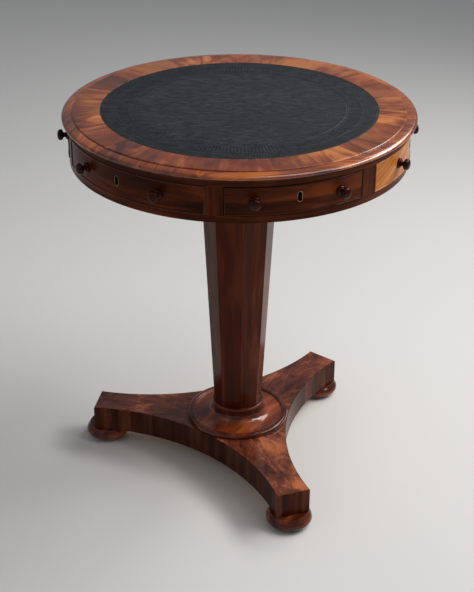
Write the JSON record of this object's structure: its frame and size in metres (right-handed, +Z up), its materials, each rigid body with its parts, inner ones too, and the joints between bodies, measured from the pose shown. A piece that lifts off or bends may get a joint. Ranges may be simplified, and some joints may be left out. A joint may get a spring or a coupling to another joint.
{
  "type": "drum table",
  "caption": "Round revolving drum table with a leather top, bow-fronted drawers and false fronts, an octagonal pillar and a three-armed platform on bun feet.",
  "frame": {"origin": "on the floor, under the pillar's axis", "axes": "+Z up, -Y out of the front drawer, +X to the right of someone facing that drawer"},
  "size_m": [0.6392, 0.6377, 0.73],
  "materials": {
    "brass": "aged brass line",
    "carcase_pine": "unpolished aged pine",
    "cockbead_mahogany": "french-polished mahogany",
    "crossband_veneer": "french-polished crossbanded mahogany",
    "drawer_lining_oak": "waxed oak",
    "drawer_veneer": "french-polished figured mahogany",
    "frieze_mahogany": "french-polished mahogany",
    "iron": "dark wrought iron",
    "knob_mahogany": "dark french-polished mahogany",
    "leather": "semi-gloss skiver, blind tooled border",
    "lock_brass": "aged brass",
    "moulding_mahogany": "french-polished mahogany",
    "pillar_mahogany": "french-polished mahogany",
    "platform_veneer": "french-polished flame mahogany",
    "turned_mahogany": "french-polished turned mahogany"
  },
  "bodies": {
    "pedestal": {"base_collar": "turned_mahogany", "bun_feet": "turned_mahogany", "pillar": "pillar_mahogany", "pillar_plate": "iron", "platform": "platform_veneer", "spindle": "iron", "spindle_nut": "iron", "tenon_wedge": "drawer_lining_oak"},
    "drum": {"back_false_front": "drawer_veneer", "bottom_board": "carcase_pine", "crossband": "crossband_veneer", "drawer_kickers": "carcase_pine", "drawer_partitions": "carcase_pine", "drawer_runners": "carcase_pine", "drawer_stops": "carcase_pine", "drum_plate": "iron", "edge_moulding": "moulding_mahogany", "false_front_cockbeads": "cockbead_mahogany", "false_front_escutcheons": "brass", "false_front_knobs": "knob_mahogany", "frieze_stiles": "frieze_mahogany", "glue_blocks": "lock_brass", "hub_block": "lock_brass", "leather_inset": "leather", "left_false_front": "drawer_veneer", "lower_rail": "frieze_mahogany", "right_false_front": "drawer_veneer", "top_board": "carcase_pine", "upper_rail": "frieze_mahogany"},
    "front_drawer": {"front_drawer_back": "drawer_lining_oak", "front_drawer_bottom": "drawer_lining_oak", "front_drawer_cockbead": "cockbead_mahogany", "front_drawer_escutcheon": "brass", "front_drawer_front": "drawer_veneer", "front_drawer_knobs": "knob_mahogany", "front_drawer_sides": "drawer_lining_oak", "front_lock_case": "lock_brass"},
    "right_drawer": {"right_drawer_back": "drawer_lining_oak", "right_drawer_bottom": "drawer_lining_oak", "right_drawer_cockbead": "cockbead_mahogany", "right_drawer_escutcheon": "brass", "right_drawer_front": "drawer_veneer", "right_drawer_knobs": "knob_mahogany", "right_drawer_sides": "drawer_lining_oak", "right_lock_case": "lock_brass"},
    "left_drawer": {"left_drawer_back": "drawer_lining_oak", "left_drawer_bottom": "drawer_lining_oak", "left_drawer_cockbead": "cockbead_mahogany", "left_drawer_escutcheon": "brass", "left_drawer_front": "drawer_veneer", "left_drawer_knobs": "knob_mahogany", "left_drawer_sides": "drawer_lining_oak", "left_lock_case": "lock_brass"},
    "front_lock_bolt": {"front_lock_bolt": "lock_brass"},
    "right_lock_bolt": {"right_lock_bolt": "lock_brass"},
    "left_lock_bolt": {"left_lock_bolt": "lock_brass"}
  },
  "joints": [
    {"name": "drum_revolve", "type": "hinge", "parent": "pedestal", "child": "drum", "pos_m": [0, 0, 0.642], "axis": [0, 0, 1], "continuous": true},
    {"name": "front_drawer_slide", "type": "slide", "parent": "drum", "child": "front_drawer", "axis": [0, -1, 0], "range_m": [0, 0.165]},
    {"name": "front_bolt_throw", "type": "slide", "parent": "front_drawer", "child": "front_lock_bolt", "axis": [0, 0, 1], "range_m": [0, 0.006]},
    {"name": "right_drawer_slide", "type": "slide", "parent": "drum", "child": "right_drawer", "axis": [0.866, 0.5, 0], "range_m": [0, 0.165]},
    {"name": "right_bolt_throw", "type": "slide", "parent": "right_drawer", "child": "right_lock_bolt", "axis": [0, 0, 1], "range_m": [0, 0.006]},
    {"name": "left_drawer_slide", "type": "slide", "parent": "drum", "child": "left_drawer", "axis": [-0.866, 0.5, 0], "range_m": [0, 0.165]},
    {"name": "left_bolt_throw", "type": "slide", "parent": "left_drawer", "child": "left_lock_bolt", "axis": [0, 0, 1], "range_m": [0, 0.006]}
  ]
}
